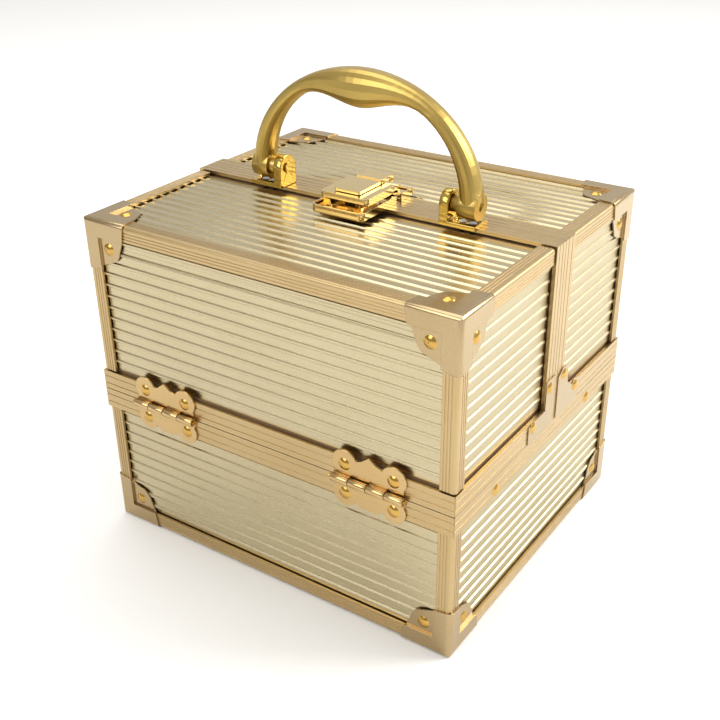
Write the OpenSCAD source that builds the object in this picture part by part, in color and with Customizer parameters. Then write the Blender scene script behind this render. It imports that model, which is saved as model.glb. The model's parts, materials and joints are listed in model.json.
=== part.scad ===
// Makeup train case: a ribbed box whose two lids open like wings to the front and to the back.
// The floor is Z = 0, X runs along the hinges, and the back of the case is towards +Y.

/* [Case] */
// Length over the corner caps
case_l = 200; // [176:1:260]
// Depth over the corner caps
case_w = 170; // [150:1:220]
// Height of the closed case without its handle
case_h = 168; // [150:1:210]
// Height of the seam between base and lids
belt_z = 77.3; // [68:0.1:95]
// How far the seam between the lids lies behind the middle
seam_y = 5.6; // [0:0.1:10]
// Gap between two mouth frames that close on each other
seam_gap = 0.4; // [0.3:0.05:0.8]

/* [Walls] */
// Thickness of the wall board
board_t = 2.2; // [1.8:0.1:4]
// Thickness of the skin between its ribs
skin_t = 0.8; // [0.5:0.1:1.2]
// Distance from rib to rib
rib_pitch = 5.85; // [5:0.05:9]
// Height of a rib
rib_h = 0.7; // [0.4:0.1:1]
// Thickness of the cloth lining
lining_t = 0.7; // [0.4:0.1:1.2]

/* [Edge rails and mouth frames] */
// Width of each leg of an edge rail
rail_leg = 7.5; // [6:0.1:9]
// Thickness of an edge rail
rail_t = 1.2; // [0.8:0.1:1.6]
// Width of the frame round the mouth of the base
base_band = 10.2; // [9:0.1:13]
// Width of the frame where a lid meets the base
lid_band = 9.9; // [9:0.1:13]
// Width of the front lid's frame over the arch
front_arch_band = 8.6; // [8:0.1:12]
// Width of the rear lid's frame over the arch
rear_arch_band = 9.6; // [8:0.1:12]
// How far a mouth frame stands out past the edge rails
frame_proud = 0.6; // [0.3:0.1:1]
// Open joint between a lid's frame and its ribbed skin
skin_gap = 1.3; // [0.8:0.1:2]

/* [Corner caps and rivets] */
// Length of a corner cap along each edge
cap_leg = 25; // [20:0.5:32]
// Thickness of the cap's sheet metal
cap_t = 0.7; // [0.5:0.1:1]
// Distance of a cap's rivets from the edges
cap_rivet_in = 13.6; // [12.5:0.1:16]
// Diameter of a rivet head
rivet_d = 6; // [4.5:0.1:7]
// Height of a rivet head
rivet_h = 1.1; // [0.8:0.1:1.6]
// Diameter of a rivet shank
shank_d = 3; // [2:0.1:3.6]

/* [Hinges] */
// Distance of each hinge from the middle of the case
hinge_x = 58.4; // [48:0.1:70]
// Length of a hinge
hinge_l = 37; // [34:0.5:44]
// Distance between the two rivets of a leaf
hinge_rivet_gap = 25; // [24:0.5:30]
// Distance from the pin to the rivets of a leaf
hinge_rivet_z = 7.5; // [7:0.1:9]
// Thickness of a leaf
leaf_t = 1; // [0.8:0.1:1.4]
// Outer diameter of the knuckles
knuckle_d = 4; // [3.6:0.1:5]
// Diameter of the hinge pin
hinge_pin_d = 1.9; // [1.4:0.1:2.2]

/* [Handle] */
// Distance between the outer faces of the handle's legs
handle_l = 124; // [110:1:150]
// Height of the handle's arch above its pivots
handle_rise = 53; // [45:1:65]
// Height of the pivots above the edge rails
pivot_rise = 9.9; // [9.4:0.1:12]
// Thickness of a leg at its foot
leg_t = 9.5; // [8:0.5:11]
// Thickness of the neck between leg and palm swell
neck_t = 7; // [6:0.5:9]
// Thickness of the palm swell
palm_t = 17.5; // [12:0.5:20]
// Depth of a leg from front to back
leg_w = 12; // [10:0.5:12]
// Depth of the palm swell from front to back
palm_w = 16; // [12:0.5:17]
// Diameter of the pivot pins
pivot_d = 3.6; // [3:0.1:4.5]
// Depth of a handle bracket from front to back
bracket_w = 12.4; // [11:0.1:14]

/* [Latch] */
// Width of the latch plates
latch_w = 28.6; // [26:0.2:34]
// Reach of the lock tray in front of the lid seam
lock_reach = 29; // [27:0.5:34]
// Reach of the catch plate behind the lid seam
catch_reach = 15.7; // [15:0.1:20]
// Height of the raised rims
rim_h = 3.6; // [3.4:0.1:5]
// Width of the hasp
hasp_w = 26.2; // [22:0.2:27]
// Height of the hasp's turned-down edges
hasp_h = 3.4; // [2.6:0.1:5]
// Width of the lever on the hasp
lever_w = 14; // [12:0.5:18]
// Diameter of the hasp's pin
hasp_pin_d = 1.4; // [1.2:0.1:1.6]

/* [Trays] */
// Height of a tray
tray_h = 40; // [25:1:50]
// Thickness of the tray's walls
tray_t = 2; // [1.6:0.1:3]
// Distance from the lid hinge to the tray's pivot in the lid, front to back
crank_y = 35; // [30:0.5:40]
// Height of the tray's pivot in the lid above the lid hinge
crank_z = 32; // [28:0.5:40]
// Distance of the arm's pivot in the base from the middle of the case
arm_y = 48; // [42:0.5:60]
// Depth of the arm's pivot below the belt seam
arm_drop = 7.5; // [7:0.1:8]
// Thickness of a tray arm
arm_t = 1; // [0.8:0.1:1.5]
// Width of a tray arm
arm_w = 10; // [8:0.5:12]

/* [Hidden] */
$fn = 48;
eps = 0.01;

// The box of the edge rails: everything is placed from its planes
half_x = case_l / 2 - cap_t;
half_y = case_w / 2 - cap_t;
low_z = cap_t;
top_z = case_h - cap_t;

// Layers of a wall, measured inwards from the plane of the edge rails
skin_in = rail_t + rib_h;
board_in = skin_in + skin_t;
wall_in = board_in + board_t;
frame_lip_t = 1;
frame_lip_h = 6.5;
frame_in = wall_in + frame_lip_t;
web_t = 1.2;
mitre_gap = 0.12;

// Mouth planes
base_mouth_z = belt_z - seam_gap / 2;
lid_mouth_z = belt_z + seam_gap / 2;
front_mouth_y = seam_y - seam_gap / 2;
rear_mouth_y = seam_y + seam_gap / 2;
floor_top_z = low_z + wall_in;

rib_base = 2;
rib_top = 1;
edge_r = 1.5;
cap_r = edge_r + cap_t;
cap_gap = 0.2;
groove_w = 0.5;
groove_deep = 0.25;
rail_end_in = rail_leg + 1.5;
fit_gap = 0.05;

// Hinge pin axes, just outside the mouth frames
knuckle_gap = 0.2;
hinge_y = half_y + frame_proud + knuckle_d / 2 + knuckle_gap;
knuckle_n = 4;
lobe_r = 6.3;

// Handle pivot axis and brackets, on the front lid's arch frame
frame_top_z = top_z + frame_proud;
pivot_z = top_z + pivot_rise;
bracket_back_gap = 0.3;
pivot_y = front_mouth_y - bracket_back_gap - bracket_w / 2;
foot_r = 6.2;
bracket_out_x = handle_l / 2 + 0.5;
bracket_in_x = handle_l / 2 - 18;
cheek_t = 4.5;
bracket_base_t = 2.2;
foot_gap = 0.3;

// Fasteners, from the face they sit on to the inside of the wall
plate_t = 0.6;
cap_rivet_l = wall_in - rail_t + cap_t;
plate_rivet_l = wall_in + frame_proud + plate_t;
hinge_rivet_l = wall_in + frame_proud + leaf_t;
screw_l = wall_in + frame_proud + 1;

// Rivets of the joint plates: distance from the mouth of the lid, height above the belt seam
front_plate_rivets = [[5.2, 20.4], [20.6, 7.1]];
rear_plate_rivets = [[9.7, 20.8], [24.2, 8]];

// Latch
latch_sheet = 0.8;
latch_floor_z = frame_top_z + latch_sheet;
latch_rivet_l = wall_in + frame_proud + latch_sheet;
catch_front_y = rear_mouth_y + 3.8;
catch_knuckle_d = 2.8;
catch_pin_y = rear_mouth_y + catch_reach - 2.5;
catch_pin_z = latch_floor_z + catch_knuckle_d / 2 + 0.25;
tongue_w = 14;
hasp_low_z = frame_top_z + rim_h + 1.4;
hasp_top_z = hasp_low_z + hasp_h;
hasp_front_y = front_mouth_y - 23.2;
hasp_back_y = rear_mouth_y + 0.6;
hasp_sheet = 1;
hasp_lug_r = 1.3;
hasp_pin_y = hasp_front_y + 2.6;
hasp_pin_z = latch_floor_z + 3.2;
lug_gap = 0.3;
lug_t = 1.2;
strap_w = 10;
lever_pin_d = 1.2;
lever_pin_y = rear_mouth_y + 6.8;
lever_pin_z = hasp_top_z - 0.1;
lever_low_z = hasp_top_z + 0.3;
lever_top_z = lever_low_z + 1.4;
lever_step_y = lever_pin_y - 9;

// Trays hang on a parallelogram: lid hinge, tray pivot in the lid, tray pivot on the arm, arm pivot
arm_z = belt_z - arm_drop;
side_gap = 0.3;
arm_out_x = half_x - frame_in - side_gap;
tray_half_x = arm_out_x - arm_t - side_gap;
tray_pin_d = 3;
tray_pin_gap = 0.05;
arm_pin_above_floor = tray_t + tray_pin_d / 2 + 1.5;
pivot_above_floor = arm_drop + arm_pin_above_floor;
tray_low_z = belt_z + crank_z - pivot_above_floor;
tray_front_in = wall_in + lining_t + 0.5;
tray_swing_r = crank_y - (hinge_y - half_y) - tray_front_in;
tray_out_y = hinge_y - crank_y + sqrt(tray_swing_r * tray_swing_r - pivot_above_floor * pivot_above_floor);
tray_mid_gap = 1.6;

mirror_l = 130;
mirror_w = 52;
mirror_t = 2;

gold_skin = [0.80, 0.74, 0.58];
gold_rail = [0.74, 0.61, 0.42];
gold_bright = [0.85, 0.76, 0.52];
gold_handle = [0.84, 0.70, 0.36];
raw_board = [0.72, 0.58, 0.42];
steel = [0.62, 0.62, 0.62];
black_cloth = [0.10, 0.10, 0.11];
black_tray = [0.14, 0.14, 0.15];

// ---------- general shapes ----------

// Flat ring along a rectangle's edges, from outer outside it to inner inside it
module edge_ring(x, y_low, y_high, outer, inner) {
    difference() {
        translate([-x - outer, y_low - outer])
            square([2 * (x + outer), y_high - y_low + 2 * outer]);
        translate([-x + inner, y_low + inner])
            square([2 * (x - inner), y_high - y_low - 2 * inner]);
    }
}

// Channel section all round a rectangle: mouth plane at Z = 0, the walls' edges sit in it from below
module channel_ring(x, y_low, y_high, band) {
    difference() {
        translate([0, 0, -band])
            linear_extrude(band) edge_ring(x, y_low, y_high, frame_proud, rail_t);
        for (share = [0.3, 0.7])
            translate([0, 0, -band * share - groove_w / 2])
                linear_extrude(groove_w)
                    edge_ring(x, y_low, y_high, frame_proud + 1, groove_deep - frame_proud);
    }
    translate([0, 0, -web_t])
        linear_extrude(web_t) edge_ring(x, y_low, y_high, frame_proud - 0.3, frame_in);
    translate([0, 0, -frame_lip_h])
        linear_extrude(frame_lip_h) edge_ring(x, y_low, y_high, -wall_in, frame_in);
}

// Prism over an outline in the YZ plane, from -x to x
module side_prism(x, points) {
    translate([-x, 0, 0]) rotate([90, 0, 90]) linear_extrude(2 * x) polygon(points);
}

// Ribbed skin's section: ribs stand on a grid that every wall shares
function rib_outline(low, high) =
    let (first = ceil((low + rib_base) / rib_pitch), last = floor((high - rib_base) / rib_pitch))
    concat(
        [[low, 0], [low, skin_t]],
        [for (k = [first:last]) each [
            [k * rib_pitch - rib_base / 2, skin_t],
            [k * rib_pitch - rib_top / 2, skin_t + rib_h],
            [k * rib_pitch + rib_top / 2, skin_t + rib_h],
            [k * rib_pitch + rib_base / 2, skin_t]
        ]],
        [[high, skin_t], [high, 0]]
    );

// Board and skin of a wall lying on its inner face: ribs run along X and are stacked along Y.
// area is [x from, x to, y from, y to].
module board(area) {
    translate([area[0], area[2], 0]) cube([area[1] - area[0], area[3] - area[2], board_t]);
}
module skin(area) {
    translate([area[0], 0, board_t])
        rotate([90, 0, 90])
            linear_extrude(area[1] - area[0]) polygon(rib_outline(area[2], area[3]));
}

// Places for a wall: each turns its outer side to the outside of the case
module at_front() { translate([0, -half_y + wall_in, 0]) rotate([90, 0, 0]) children(); }
module at_rear() { translate([0, half_y - wall_in, 0]) rotate([90, 0, 180]) children(); }
module at_right() { translate([half_x - wall_in, 0, 0]) rotate([90, 0, 90]) children(); }
module at_left() { translate([-half_x + wall_in, 0, 0]) rotate([90, 0, -90]) children(); }
module at_top() { translate([0, 0, top_z - wall_in]) children(); }
module at_floor() { translate([0, 0, low_z + wall_in]) rotate([180, 0, 0]) children(); }

module both_ends() {
    children();
    mirror([1, 0, 0]) children();
}

// Corner of a square at the origin, less a circle of radius r round the square's far corner
module corner_sliver(size, r) {
    difference() {
        square(size);
        translate([size, size]) circle(r);
    }
}

// L-shaped edge rail along Z: its corner is at the origin and its legs run along +X and +Y
module rail(length) {
    linear_extrude(length) difference() {
        square(rail_leg);
        translate([rail_t, rail_t]) square(rail_leg);
        corner_sliver(edge_r, edge_r);
        for (share = [0.4, 0.6, 0.8]) {
            translate([rail_leg * share, 0]) square([groove_w, groove_deep * 2], center = true);
            translate([0, rail_leg * share]) square([groove_deep * 2, groove_w], center = true);
        }
    }
}

// Rails along the three directions, from the plane of the edge rails inwards
module rail_z(x_side, y_side, z_from, z_to) {
    translate([x_side * half_x, y_side * half_y, z_from])
        rotate([0, 0, x_side * y_side > 0 ? (x_side > 0 ? 180 : 0) : (x_side > 0 ? 90 : -90)])
            rail(z_to - z_from);
}
module rail_x(y_side, z, z_side) {
    translate([-half_x + rail_end_in, y_side * half_y, z])
        rotate([0, 90, 0])
            mirror([z_side < 0 ? 1 : 0, 0, 0])
                mirror([0, y_side > 0 ? 1 : 0, 0])
                    rail(2 * (half_x - rail_end_in));
}
module rail_y(y_from, y_to, z, z_side) {
    translate([half_x, y_from, z])
        rotate([-90, 0, 0])
            mirror([1, 0, 0])
                mirror([0, z_side > 0 ? 0 : 1, 0])
                    rail(y_to - y_from);
}

// Rivet with a domed head; Z = 0 is the face it sits on and the shank goes down
module rivet(length) {
    dome_r = (rivet_d * rivet_d / 4 + rivet_h * rivet_h) / (2 * rivet_h);
    intersection() {
        translate([0, 0, rivet_h - dome_r]) sphere(dome_r);
        cylinder(h = rivet_h + 1, d = rivet_d);
    }
    translate([0, 0, -length]) cylinder(h = length + eps, d = shank_d);
}
module rivet_hole(length) {
    translate([0, 0, -length - 1]) cylinder(h = length + 2, d = shank_d + 2 * fit_gap);
}

// ---------- corner caps ----------

// Leg bands of a cap on one face, with their ends cut back towards the outer edge
module cap_bands(width) {
    cut = 1.5;
    low = -cap_t;
    difference() {
        translate([low, low]) {
            square([cap_leg + cap_t, width + cap_t]);
            square([width + cap_t, cap_leg + cap_t]);
        }
        polygon([[cap_leg - cut, width], [cap_leg + 1, width], [cap_leg + 1, low], [cap_leg, low]]);
        polygon([[width, cap_leg - cut], [width, cap_leg + 1], [low, cap_leg + 1], [low, cap_leg]]);
    }
}

// Web round the rivet, between the two bands of a face
module cap_web(band) {
    lobe = rivet_d / 2 + 3.4;
    far = cap_leg - 2.2;
    out = cap_rivet_in + lobe * 0.87;
    in = cap_rivet_in + lobe * 0.5;
    intersection() {
        union() {
            translate([cap_rivet_in, cap_rivet_in]) circle(lobe);
            polygon([[band, band], [far, band], [out, in], [in, out], [band, far]]);
        }
        translate([band, band]) square(cap_leg);
    }
}

// One face of a cap: Z = 0 is the plane of the rails and the outside of the case is below it.
// The bands lie on the rails and the web lies on the ribs.
module cap_face() {
    band = rail_leg;
    difference() {
        union() {
            translate([0, 0, -cap_t]) linear_extrude(cap_t) cap_bands(band + cap_t);
            translate([0, 0, -eps]) linear_extrude(rail_t + eps) difference() {
                cap_web(band);
                translate([band + cap_t, band + cap_t]) square(cap_leg);
            }
            translate([0, 0, rail_t - cap_t]) linear_extrude(cap_t) cap_web(band);
        }
        translate([cap_rivet_in, cap_rivet_in, -1]) cylinder(h = rail_t + 2, d = shank_d + 2 * fit_gap);
    }
}
module three_faces() {
    children();
    rotate([90, 0, 90]) children();
    rotate([90, 0, 90]) rotate([90, 0, 90]) children();
}
module corner_cap() {
    difference() {
        union() {
            three_faces() cap_face();
            three_faces() linear_extrude(cap_leg - 1) corner_sliver(edge_r, edge_r + cap_gap);
        }
        three_faces() translate([-cap_t, -cap_t, -1 - cap_t]) linear_extrude(cap_leg + 3) corner_sliver(cap_r, cap_r);
    }
}

// Moves a shape made for the corner at the origin to a corner of the case
module at_corner(x_side, y_side, z_side) {
    translate([x_side * half_x, y_side * half_y, z_side > 0 ? top_z : low_z])
        mirror([x_side > 0 ? 1 : 0, 0, 0])
            mirror([0, y_side > 0 ? 1 : 0, 0])
                mirror([0, 0, z_side > 0 ? 1 : 0])
                    children();
}
// Places children at the three rivets of the corner at the origin, turned outwards
module at_cap_rivets() {
    for (turns = [0:2])
        rotate(turns > 0 ? [90, 0, 90] : [0, 0, 0])
            rotate(turns > 1 ? [90, 0, 90] : [0, 0, 0])
                translate([cap_rivet_in, cap_rivet_in, rail_t - cap_t])
                    rotate([180, 0, 0]) children();
}
module cap_rivets(y_sides, z_side) {
    for (x_side = [-1, 1], y_side = y_sides)
        at_corner(x_side, y_side, z_side) at_cap_rivets() rivet(cap_rivet_l);
}
module cap_holes() {
    for (x_side = [-1, 1], y_side = [-1, 1], z_side = [-1, 1])
        at_corner(x_side, y_side, z_side) at_cap_rivets() rivet_hole(cap_rivet_l + 1);
}

// ---------- base ----------

// Hairline joints between the boards, so that each stays a piece of its own
module board_joints() {
    gap = 0.04;
    x = half_x - wall_in;
    for (x_side = [-1, 1])
        translate([x_side * x - gap / 2, -half_y, low_z]) cube([gap, 2 * half_y, 2 * case_h]);
    translate([-half_x, -half_y, floor_top_z - gap / 2]) cube([2 * half_x, 2 * half_y, gap]);
    translate([-half_x, -half_y, top_z - wall_in - gap / 2]) cube([2 * half_x, 2 * half_y, gap]);
}

// Skins and boards of the base: front skins fit between the ends, and all of them stand on the floor
base_front_area = [-half_x + wall_in, half_x - wall_in, floor_top_z, base_mouth_z - base_band + 2];
base_end_area = [-half_y + rail_t, half_y - rail_t, floor_top_z, base_mouth_z - base_band + 2];
base_floor_area = [-half_x + rail_t, half_x - rail_t, -half_y + rail_t, half_y - rail_t];
function up_to(area, top) = [area[0], area[1], area[2], top];

module base_holes() {
    cap_holes();
    hinge_holes();
    arm_pin_holes();
}
module base_front_panel() {
    color(gold_skin) difference() {
        at_front() skin(base_front_area);
        base_holes();
    }
}
module base_rear_panel() {
    color(gold_skin) difference() {
        at_rear() skin(base_front_area);
        base_holes();
    }
}
module base_end_panels() {
    color(gold_skin) both_ends() difference() {
        at_right() skin(base_end_area);
        base_holes();
    }
}
module base_floor() {
    color(gold_skin) difference() {
        at_floor() skin(base_floor_area);
        base_holes();
    }
}
module base_boards() {
    top = base_mouth_z - web_t;
    color(raw_board) difference() {
        union() {
            at_front() board(up_to(base_front_area, top));
            at_rear() board(up_to(base_front_area, top));
            both_ends() at_right() board(up_to(base_end_area, top));
            at_floor() board(base_floor_area);
        }
        board_joints();
        base_holes();
    }
}
module base_rails() {
    top = base_mouth_z - base_band;
    color(gold_rail) {
        for (x_side = [-1, 1], y_side = [-1, 1])
            rail_z(x_side, y_side, low_z + rail_end_in, top);
        for (y_side = [-1, 1]) rail_x(y_side, low_z, -1);
        both_ends() rail_y(-half_y + rail_end_in, half_y - rail_end_in, low_z, -1);
    }
}
module base_corner_caps() {
    color(gold_bright) for (x_side = [-1, 1], y_side = [-1, 1])
        at_corner(x_side, y_side, -1) corner_cap();
}
module base_cap_rivets() {
    color(gold_handle) {
        cap_rivets([-1, 1], -1);
        at_hinge_rivets([-1, 1], -1) rivet(hinge_rivet_l);
    }
}

// Thin cuts along the mitres of the two frames of a lid or of the base
module mitre_slab() { cube([60, mitre_gap, 2 * case_h], center = true); }
module belt_mitres(y_sides) {
    for (x_side = [-1, 1], y_side = y_sides)
        translate([x_side * half_x, y_side * half_y, belt_z])
            rotate([0, 0, x_side * y_side * 45]) mitre_slab();
}

// Four bars, mitred at the corners
module base_mouth_frame() {
    color(gold_rail) difference() {
        translate([0, 0, base_mouth_z]) channel_ring(half_x, -half_y, half_y, base_band);
        belt_mitres([-1, 1]);
        base_holes();
    }
}
module base_lining() {
    x = half_x - wall_in;
    y = half_y - wall_in;
    color(black_cloth) difference() {
        translate([-x, -y, floor_top_z]) cube([2 * x, 2 * y, base_mouth_z - frame_lip_h - floor_top_z]);
        arm_pin_holes();
        translate([-x + lining_t, -y + lining_t, floor_top_z + lining_t])
            cube([2 * (x - lining_t), 2 * (y - lining_t), case_h]);
    }
}

// ---------- lids ----------

// Everything of a lid is made for the front lid's side, with the mouth plane at Y = mouth.
// The rear lid is the same, turned half round.

function lid_front_area() =
    [-half_x + wall_in, half_x - wall_in, lid_mouth_z + lid_band + skin_gap, top_z - wall_in];
function lid_end_area(mouth, band) =
    [-half_y + rail_t, mouth - band - skin_gap, lid_mouth_z + lid_band + skin_gap, top_z - wall_in];
function lid_top_area(mouth, band) =
    [-half_x + rail_t, half_x - rail_t, -half_y + rail_t, mouth - band - skin_gap];

module lid_boards(mouth, band) {
    front = lid_front_area();
    end = lid_end_area(mouth, band);
    top = lid_top_area(mouth, band);
    difference() {
        union() {
            at_front() board([front[0], front[1], lid_mouth_z + web_t, front[3]]);
            both_ends() at_right() board([end[0], mouth - web_t, lid_mouth_z + web_t, end[3]]);
            at_top() board([top[0], top[1], top[2], mouth - web_t]);
        }
        board_joints();
    }
}
module lid_rails(mouth, band) {
    for (x_side = [-1, 1])
        rail_z(x_side, -1, lid_mouth_z + lid_band + skin_gap / 2, top_z - rail_end_in);
    rail_x(-1, top_z, 1);
    both_ends() rail_y(-half_y + rail_end_in, mouth - band - skin_gap, top_z, 1);
}
module lid_corner_caps() {
    for (x_side = [-1, 1]) at_corner(x_side, -1, 1) corner_cap();
}
module lid_rivets(mouth, plate_rivets) {
    cap_rivets([-1], 1);
    at_hinge_rivets([-1], 1) rivet(hinge_rivet_l);
    both_ends() at_plate_rivets(mouth, plate_rivets) rivet(plate_rivet_l);
}

// Everything that goes through the walls and frames of a lid, but for its latch and handle
module lid_holes(mouth, plate_rivets) {
    cap_holes();
    hinge_holes();
    both_ends() {
        at_plate_rivets(mouth, plate_rivets) rivet_hole(plate_rivet_l);
        at_lid_tray_pin() tray_pin_hole();
    }
}

// Belt bars and arch bars, mitred where they meet on the end faces
module lid_mouth_frame(mouth, band) {
    far = case_h;
    inner = [mouth - 30, lid_mouth_z + 30 * lid_band / band];
    difference() {
        union() {
            intersection() {
                translate([0, 0, lid_mouth_z])
                    mirror([0, 0, 1]) channel_ring(half_x, -half_y, half_y, lid_band);
                side_prism(far, [[-far, lid_mouth_z], [mouth, lid_mouth_z], inner, [-far, inner[1]]]);
            }
            intersection() {
                translate([0, mouth, 0])
                    rotate([90, 0, 0]) mirror([0, 0, 1]) channel_ring(half_x, -far, top_z, band);
                side_prism(far, [[mouth, lid_mouth_z], [mouth, far], [inner[0], far], inner]);
            }
        }
        belt_mitres([-1]);
        joint_mitre(mouth, band);
        for (x_side = [-1, 1])
            translate([x_side * half_x, mouth, top_z]) rotate([90, 0, 0]) rotate([0, 0, x_side * 45])
                cube([60, mitre_gap, 60], center = true);
    }
}
module joint_mitre(mouth, band) {
    translate([0, mouth, lid_mouth_z]) rotate([0, 90, 0]) rotate([0, 0, -atan2(band, lid_band)])
        cube([60, mitre_gap, 2 * case_l], center = true);
}
module lid_lining(mouth) {
    x = half_x - wall_in;
    front = -half_y + wall_in;
    back = mouth - frame_lip_h;
    low = lid_mouth_z + frame_lip_h;
    top = top_z - wall_in;
    difference() {
        translate([-x, front, low]) cube([2 * x, back - front, top - low]);
        translate([-x + lining_t, front + lining_t, low - 1])
            cube([2 * (x - lining_t), case_w, top - low + 1 - lining_t]);
        both_ends() at_lid_tray_pin() tray_pin_hole();
    }
}

// Children on the right end face: u behind the mouth, v above the belt seam
module on_end_face(mouth) {
    translate([half_x + frame_proud, mouth, lid_mouth_z]) rotate([90, 0, 90]) mirror([1, 0, 0]) children();
}
module at_plate_rivets(mouth, plate_rivets) {
    for (place = plate_rivets)
        on_end_face(mouth) translate([place[0], place[1], plate_t]) children();
}

// L-shaped plates of the front lid, over the mitres of belt and arch
module front_plate_outline() {
    arm = lid_band + 15;
    difference() {
        square(arm);
        translate([front_arch_band, lid_band]) square(arm);
        translate([arm - 1, lid_band - 1]) rotate(45) square([4, 2]);
    }
}
// Gussets of the rear lid, with a lobe round each rivet
module rear_plate_outline() {
    low = rear_plate_rivets[1];
    high = rear_plate_rivets[0];
    lobe = 4.2;
    for (place = rear_plate_rivets) translate(place) circle(lobe);
    polygon([
        [3.6, 0], [3.6, high[1] + 1], high + [-1, lobe], high + [lobe, -0.5], [high[0] + 5, low[1] + 6.4],
        low + [-3.6, 2.2], low + [0, lobe], low + [lobe - 0.2, -1], [low[0] + 3, 0]]);
}
module joint_plates(mouth, plate_rivets) {
    both_ends() difference() {
        on_end_face(mouth) linear_extrude(plate_t) children();
        at_plate_rivets(mouth, plate_rivets) rivet_hole(plate_t + 1);
    }
}

// The rear lid is built as if it were the front one, with its own mouth plane and band, and turned
turned_mouth_y = -rear_mouth_y;

module rear() { rotate([0, 0, 180]) children(); }

module front_holes() {
    lid_holes(front_mouth_y, front_plate_rivets);
    bracket_screw_places() rivet_hole(screw_l);
    lock_rivet_places() rivet_hole(latch_rivet_l);
}
module front_lid_front_panel() {
    color(gold_skin) difference() {
        at_front() skin(lid_front_area());
        front_holes();
    }
}
module front_lid_top_panel() {
    color(gold_skin) difference() {
        at_top() skin(lid_top_area(front_mouth_y, front_arch_band));
        front_holes();
    }
}
module front_lid_end_panels() {
    color(gold_skin) difference() {
        both_ends() at_right() skin(lid_end_area(front_mouth_y, front_arch_band));
        front_holes();
    }
}
module front_lid_boards() {
    color(raw_board) difference() {
        lid_boards(front_mouth_y, front_arch_band);
        front_holes();
    }
}
module front_lid_rails() { color(gold_rail) lid_rails(front_mouth_y, front_arch_band); }
module front_lid_corner_caps() { color(gold_bright) lid_corner_caps(); }
module front_lid_rivets() { color(gold_handle) lid_rivets(front_mouth_y, front_plate_rivets); }
module front_lid_mouth_frame() {
    color(gold_rail) difference() {
        lid_mouth_frame(front_mouth_y, front_arch_band);
        front_holes();
    }
}
module front_lid_joint_plates() {
    color(gold_bright) difference() {
        joint_plates(front_mouth_y, front_plate_rivets) front_plate_outline();
        joint_mitre(front_mouth_y, front_arch_band);
    }
}
module front_lid_lining() { color(black_cloth) lid_lining(front_mouth_y); }

module rear_holes() {
    rear() lid_holes(turned_mouth_y, rear_plate_rivets);
    catch_rivet_places() rivet_hole(latch_rivet_l);
}
module rear_lid_rear_panel() {
    color(gold_skin) difference() {
        rear() at_front() skin(lid_front_area());
        rear_holes();
    }
}
module rear_lid_top_panel() {
    color(gold_skin) difference() {
        rear() at_top() skin(lid_top_area(turned_mouth_y, rear_arch_band));
        rear_holes();
    }
}
module rear_lid_end_panels() {
    color(gold_skin) difference() {
        rear() both_ends() at_right() skin(lid_end_area(turned_mouth_y, rear_arch_band));
        rear_holes();
    }
}
module rear_lid_boards() {
    color(raw_board) difference() {
        rear() lid_boards(turned_mouth_y, rear_arch_band);
        rear_holes();
    }
}
module rear_lid_rails() { color(gold_rail) rear() lid_rails(turned_mouth_y, rear_arch_band); }
module rear_lid_corner_caps() { color(gold_bright) rear() lid_corner_caps(); }
module rear_lid_rivets() { color(gold_handle) rear() lid_rivets(turned_mouth_y, rear_plate_rivets); }
module rear_lid_mouth_frame() {
    color(gold_rail) difference() {
        rear() lid_mouth_frame(turned_mouth_y, rear_arch_band);
        rear_holes();
    }
}
module rear_lid_joint_plates() {
    color(gold_bright) rear() joint_plates(turned_mouth_y, rear_plate_rivets) rear_plate_outline();
}
module rear_lid_lining() { color(black_cloth) rear() lid_lining(turned_mouth_y); }

// Mirror on the lining of the rear lid's top
module mirror_glass() {
    y_mid = (rear_mouth_y + half_y - wall_in) / 2;
    color("silver") translate([0, y_mid, top_z - wall_in - lining_t - mirror_t])
        linear_extrude(mirror_t) difference() {
            square([mirror_l, mirror_w], center = true);
            for (x_side = [-1, 1], y_side = [-1, 1])
                translate([x_side * mirror_l / 2, y_side * mirror_w / 2]) rotate(45) square(5, center = true);
        }
}

// ---------- hinges ----------

// Children at a leaf's rivets, turned outwards; z_side is +1 on the lid and -1 on the base
module at_hinge_rivets(y_sides, z_side) {
    for (y_side = y_sides, x_side = [-1, 1], end = [-1, 1])
        rotate([0, 0, y_side > 0 ? 180 : 0])
            translate([x_side * hinge_x + end * hinge_rivet_gap / 2,
                       -half_y - frame_proud - leaf_t, belt_z + z_side * hinge_rivet_z])
                rotate([90, 0, 0]) children();
}
module hinge_holes() {
    at_hinge_rivets([-1, 1], 1) rivet_hole(hinge_rivet_l);
    at_hinge_rivets([-1, 1], -1) rivet_hole(hinge_rivet_l);
}

// Leaf outlines with the pin along the X axis at Y = 0
module lid_leaf_outline() {
    root = knuckle_d / 2 + 0.4;
    translate([-hinge_l / 2 + 1, root]) square([hinge_l - 2, hinge_rivet_z - root]);
    for (end = [-1, 1])
        translate([end * hinge_rivet_gap / 2, hinge_rivet_z + 0.8]) circle(lobe_r);
    polygon([[-9, root], [9, root], [7, 10.5], [4, 11.6], [0, 14.6], [-4, 11.6], [-7, 10.5]]);
}
module base_leaf_outline() {
    root = knuckle_d / 2 + 0.4;
    translate([-hinge_l / 2 + 1, -hinge_rivet_z]) square([hinge_l - 2, hinge_rivet_z - root]);
    for (end = [-1, 1])
        translate([end * hinge_rivet_gap / 2, -hinge_rivet_z - 0.3]) circle(lobe_r - 0.3);
    polygon([[-9, -root], [9, -root], [8, -9.4], [4.5, -12.4], [-4.5, -12.4], [-8, -9.4]]);
}

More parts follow.
